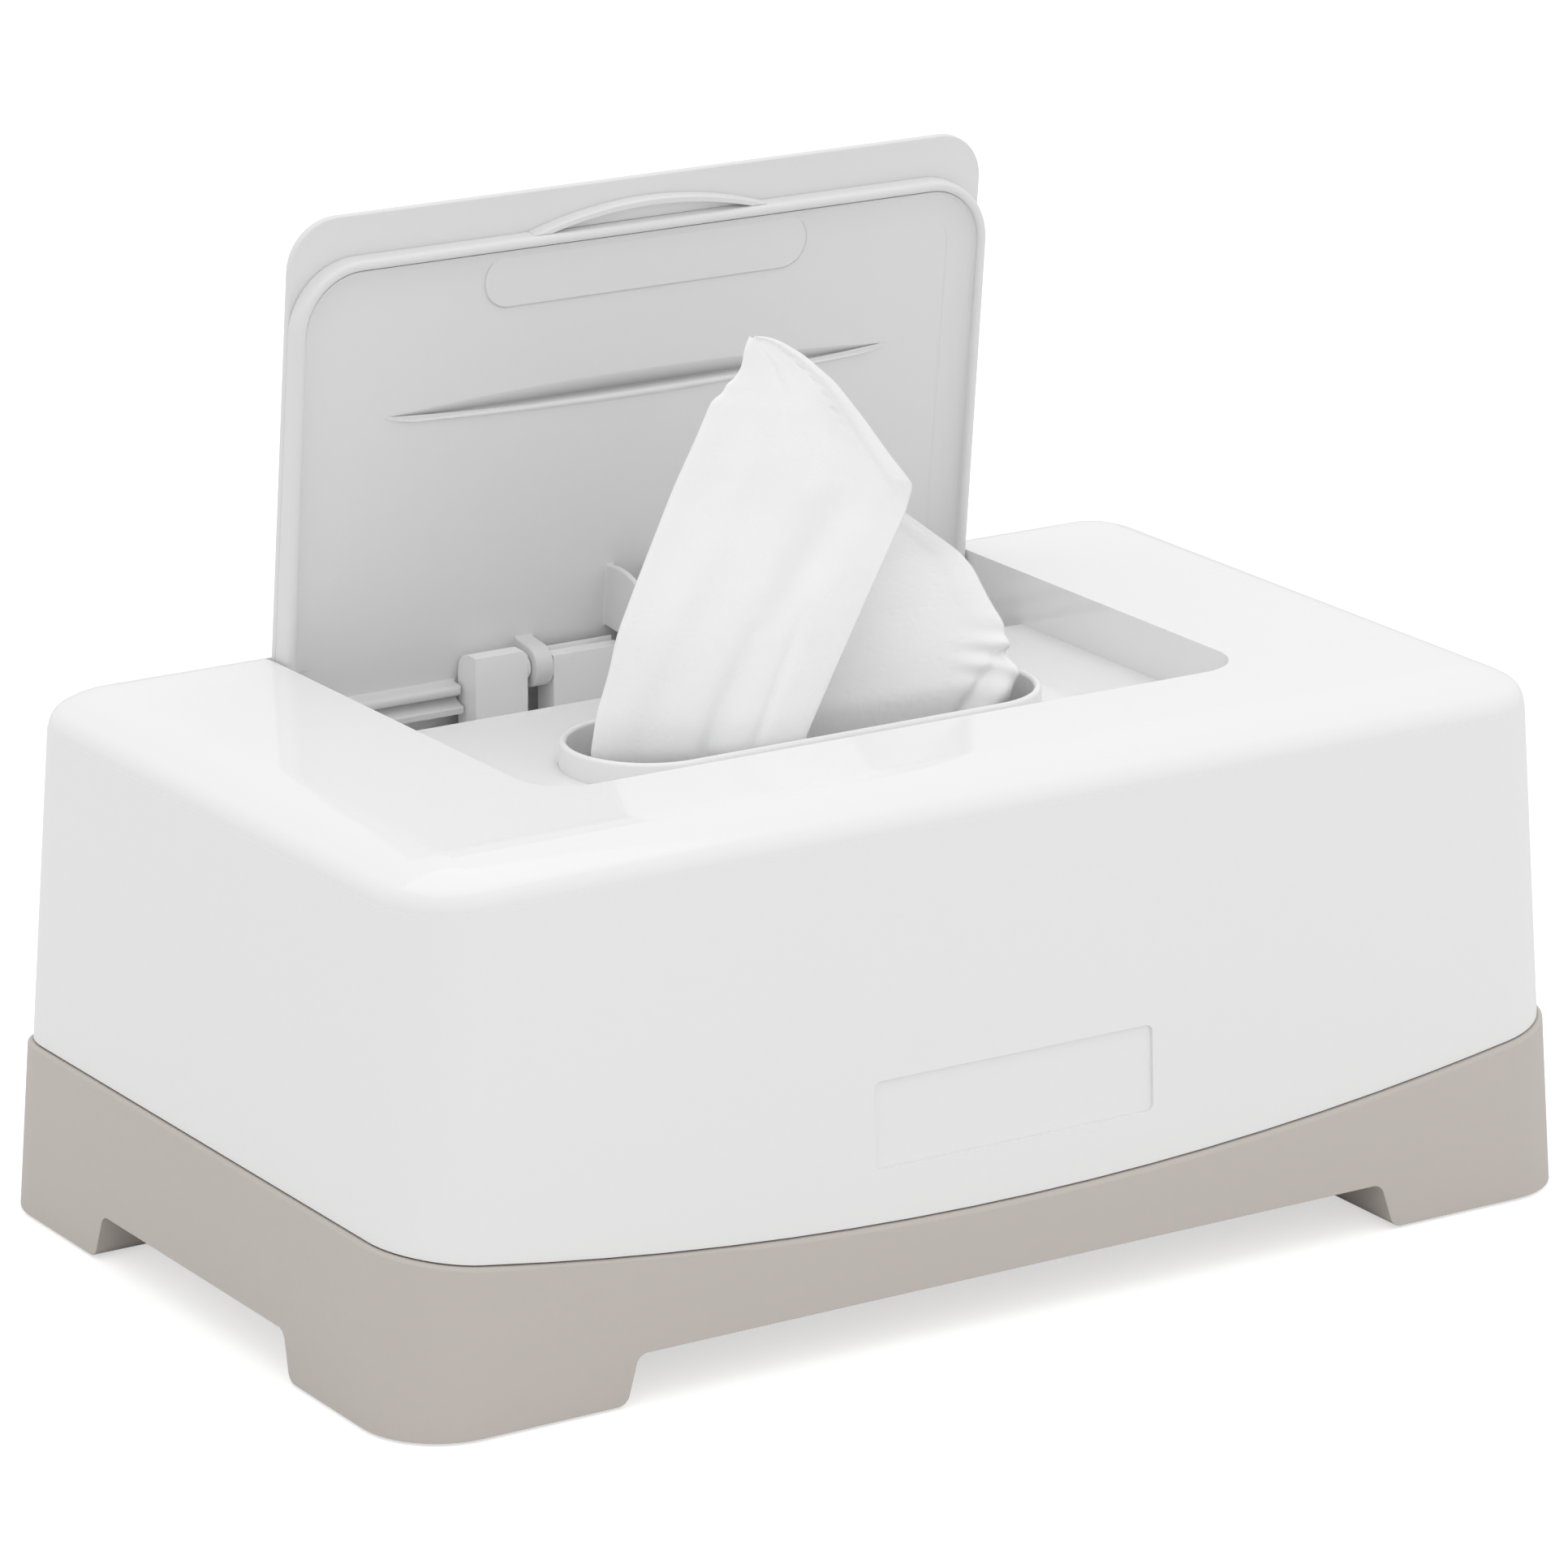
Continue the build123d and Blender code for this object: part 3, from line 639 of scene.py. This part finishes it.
fold = drawn_line([
    (0, -37, -3, 64), (0.20, -44.8, -4.5, 91.8), (0.28, -43.4, -4.4, 99.2), (0.36, -40.8, -4.3, 106.4),
    (0.43, -39.0, -4.2, 113.1), (0.52, -35.2, -4.1, 121.4), (0.62, -27.1, -3.8, 138),
    (0.72, -22.0, -3.7, 147.0), (0.80, -19.0, -3.6, 152.8), (0.84, -16.6, -3.6, 153.9),
    (0.87, -15.8, -3.6, 155.3), (0.91, -14.1, -3.6, 156.2), (0.95, -12.5, -3.5, 158.2),
    (0.98, -12.1, -3.4, 161.5), (1.0, -10.6, -3.2, 163.2),
], blend=5)
free_edge = drawn_line([
    (0, -4, -12, 64), (0.20, -7.1, -15.5, 91.7), (0.32, 1.6, -12.3, 103), (0.46, 11.9, -8.4, 115.9),
    (0.60, 21.4, -4.7, 127.4), (0.635, 23.0, -4.3, 131.8), (0.72, 18.0, -4.1, 138),
    (0.79, 12.2, -3.8, 145.8), (0.86, 6.5, -3.5, 152.9), (0.92, -0.1, -3.3, 158.8),
    (0.96, -5.0, -3.2, 161.9), (0.985, -7.6, -3.1, 163.0), (1.0, -10.0, -3.2, 163.4),
], blend=3)
back_edge = drawn_line([
    (0, 36, -9, 66.6), (0.20, 43.6, -7.8, 92.4), (0.225, 44.4, -6.6, 94.6), (0.245, 44.6, -5.8, 96.2),
    (0.27, 44.8, -4.8, 98.2), (0.31, 45.3, -3.2, 101.2), (0.36, 43.3, -0.2, 106.4), (0.44, 41.7, 2.6, 111.8),
    (0.50, 39.4, 3.8, 115), (0.60, 27.3, 4.2, 124.3), (0.76, 11, 2.7, 137.5), (0.88, -2.7, 0.7, 149.8),
    (1.0, -10.2, -2.4, 163.1),
], blend=6)

# The front leaf bows forward, and has creases, a hem and a row of pressed stitches beside the hem. Of each
# crease, the row says where it lies across the leaf at the foot and at the top, its depth in millimetres,
# its width, and the middle and the reach of its stretch up the leaf.
stitch_height = 0.0005
creases = (
    (0.51, 0.46, 1.35, 0.055, 0.25, 0.19),
    (0.74, 0.64, 0.55, 0.035, 0.28, 0.18),
    (0.25, 0.60, -1.5, 0.16, 0.50, 0.40),
    (0.30, 0.95, 1.2, 0.10, 0.62, 0.22),
    (0.10, 0.55, 0.5, 0.05, 0.84, 0.12),
    (0.05, 0.30, -0.8, 0.08, 0.45, 0.30),
)
front = leaf(fold, free_edge)
front_bow = up_table([0, 0.25, 0.5, 0.75, 1.0], [2.2, 3.6, 3.4, 1.8, 0.3])
front[..., 1] -= front_bow * np.sin(pi * across) ** 0.8
for foot, top, depth, wide, at, reach in creases:
    strength = np.clip(1 - ((up - at) / reach) ** 2, 0, 1)
    front[..., 1] += depth / 1000 * strength * hump(across, foot + (top - foot) * up, wide)
front[..., 1] += billow((0.6, 4.2, 6.0, 0.0), (0.2, 9.0, -7.0, 1.3))
front[..., 1] -= hem(0.90, 0.62, thick=0.00060)
stitches = np.clip(np.sin(190 * up), 0, 1) ** 0.5 * hump(across, 0.84, 0.025)
front[..., 1] += stitch_height * stitches * ramp(up, 0.76, 0.04) * (1 - ramp(up, 0.92, 0.03))

# The back leaf bows away. It is crumpled at the far edge where it turns over the collar, and below that its
# corner folds forward along a slanting crease. It stands clear of the front leaf from just behind the fold.
crumple_aside, crumple_deep, corner_deep = 0.0003, 0.0011, 0.0019
gap, least_gap = 0.0010, 0.0002
back = leaf(fold, back_edge)
back_bow = up_table([0, 0.25, 0.6, 1.0], [1.2, 2.0, 2.0, 0.3])
back[..., 1] += back_bow * np.sin(pi * across)
crumple = ramp(across, 0.84, 0.16) ** 1.5 * hump(up, 0.25, 0.05)
back[..., 0] += crumple_aside * crumple * np.sin(110 * up + 16 * across)
back[..., 1] += crumple_deep * crumple * np.sin(125 * up + 26 * across + 0.7)
past_crease = across - 0.92 - (up - 0.19)
corner_fold = hump(past_crease, 0.050, 0.032) - 0.8 * hump(past_crease, 0.0, 0.020)
back[..., 1] -= corner_deep * corner_fold * ramp(up, 0.10, 0.06) * (1 - ramp(up, 0.245, 0.04))
back[..., 1] += billow((0.5, 3.5, -6.0, 2.0), (0.15, 9.0, 5.0, 0.0))
back[..., 1] -= hem(0.93, 0.30, thick=0.00030)
back[..., 1] += (gap * (1 - np.exp(-across / 0.03)) + least_gap) * np.clip(8 * (1 - up), 0.3, 1)
sheet = np.concatenate([front[:, ::-1], back], axis=1)

wipe = grid_piece("drawn_wipe", sheet)
cloth = wipe.modifiers.new("cloth_thickness", "SOLIDIFY")
cloth.thickness = 0.00035
cloth.offset = 0.0
drawn_fabric = wipe_fabric("drawn_wipe_fabric", pattern_scale=70.0, uv_name="flat")
cover_piece(wipe, "pulled_wipe", drawn_fabric)
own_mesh(wipe)


# Floor: plain white paper. It keeps the box's soft shadow, and the camera sees it white away from the box.
# To the camera it glows a little, and the box is lit by a plain white without the glow.

def camera_apart(nodes, links, for_others, for_camera):
    """A mix that gives one shader to the camera's own rays and another to all the rest."""
    choice = nodes.new("ShaderNodeMixShader")
    links.new(nodes.new("ShaderNodeLightPath").outputs["Is Camera Ray"], choice.inputs["Fac"])
    links.new(for_others, choice.inputs[1])
    links.new(for_camera, choice.inputs[2])
    return choice.outputs["Shader"]


floor_half = 4.0
corners = np.array([[-1, -1, 0], [1, -1, 0], [-1, 1, 0], [1, 1, 0]], float).reshape(2, 2, 3) * floor_half
floor = grid_piece("floor", corners, smooth=False)
paper, nodes, links, shader = new_material("white_paper")
nodes.remove(shader)
bounce = nodes.new("ShaderNodeBsdfDiffuse")
bounce.inputs["Color"].default_value = (*grey(0.80), 1)
shown = nodes.new("ShaderNodeBsdfDiffuse")
shown.inputs["Color"].default_value = (*grey(0.66), 1)
glow = nodes.new("ShaderNodeEmission")
glow.inputs["Strength"].default_value = 0.58
glowing = nodes.new("ShaderNodeAddShader")
links.new(shown.outputs["BSDF"], glowing.inputs[0])
links.new(glow.outputs["Emission"], glowing.inputs[1])
links.new(camera_apart(nodes, links, bounce.outputs["BSDF"], glowing.outputs["Shader"]),
          nodes["Material Output"].inputs["Surface"])
floor.data.materials.append(paper)


# Light: an even white room, a large soft lamp overhead and a weaker one in front on the right. The room
# lights the box a little less than the white that the camera sees behind it.

room = bpy.data.worlds.new("white_room")
room.use_nodes = True
nodes, links = room.node_tree.nodes, room.node_tree.links
walls, backdrop = nodes["Background"], nodes.new("ShaderNodeBackground")
for background, strength in ((walls, 0.875), (backdrop, 1.0)):
    background.inputs["Color"].default_value = (*grey(1.0), 1)
    background.inputs["Strength"].default_value = strength
links.new(camera_apart(nodes, links, walls.outputs["Background"], backdrop.outputs["Background"]),
          nodes["World Output"].inputs["Surface"])
bpy.context.scene.world = room


def soft_lamp(name, place, aim, size, power):
    """A square area lamp at a place, turned towards an aim.

    Two of its sides lie level, or square to y where it points nearly straight down.
    """
    lamp = bpy.data.lights.new(name, "AREA")
    lamp.shape = "SQUARE"
    lamp.size = size
    lamp.energy = power
    holder = bpy.data.objects.new(name, lamp)
    bpy.context.collection.objects.link(holder)
    back = np.array(place, float) - np.array(aim, float)
    back = back / np.linalg.norm(back)
    nearly_down = abs(back[2]) > 0.9
    right = np.cross((0.0, 1.0, 0.0) if nearly_down else (0.0, 0.0, 1.0), back)
    right = right / np.linalg.norm(right)
    turn = np.stack([right, np.cross(back, right), back], axis=-1)
    holder.matrix_world = Matrix.Translation(place) @ Matrix(turn.tolist()).to_4x4()


soft_lamp("overhead", place=(0.0, 0.0, 1.70), aim=(0.0, 0.0, 0.05), size=1.8, power=5.5)
soft_lamp("front_right", place=(0.9, -1.6, 0.9), aim=(0.0, 0.0, 0.08), size=1.4, power=1.0)


# Camera: a long lens from the front left, a little above the box. Its place and lens were fitted to the
# edges of the box. The lens and the centre of the view are given in pixels of the picture.

azimuth, elevation, roll_angle = radians(-32.770), radians(17.108), radians(0.214)
aim = np.array([-0.002567, -0.002222, 0.079206])
distance = 1.37574
picture_pixels, lens_pixels = 1932.0, 9391.16
centre_across, centre_down = 967.62, 965.81
sensor = 36.0
back = np.array([sin(azimuth) * cos(elevation), -cos(azimuth) * cos(elevation), sin(elevation)])
right = np.array([cos(azimuth), sin(azimuth), 0.0])
above = np.cross(back, right)
right, above = (right * cos(roll_angle) + above * sin(roll_angle),
                above * cos(roll_angle) - right * sin(roll_angle))
camera = bpy.data.cameras.new("camera")
camera.sensor_width = sensor
camera.sensor_fit = "HORIZONTAL"
camera.lens = sensor * lens_pixels / picture_pixels
camera.shift_x = (picture_pixels / 2 - centre_across) / picture_pixels
camera.shift_y = (centre_down - picture_pixels / 2) / picture_pixels
camera.clip_start = 0.05
holder = bpy.data.objects.new("camera", camera)
bpy.context.collection.objects.link(holder)
turn = Matrix(np.stack([right, above, back], axis=-1).tolist())
holder.matrix_world = Matrix.Translation((aim + back * distance).tolist()) @ turn.to_4x4()
bpy.context.scene.camera = holder
bpy.context.scene.view_settings.view_transform = "Standard"
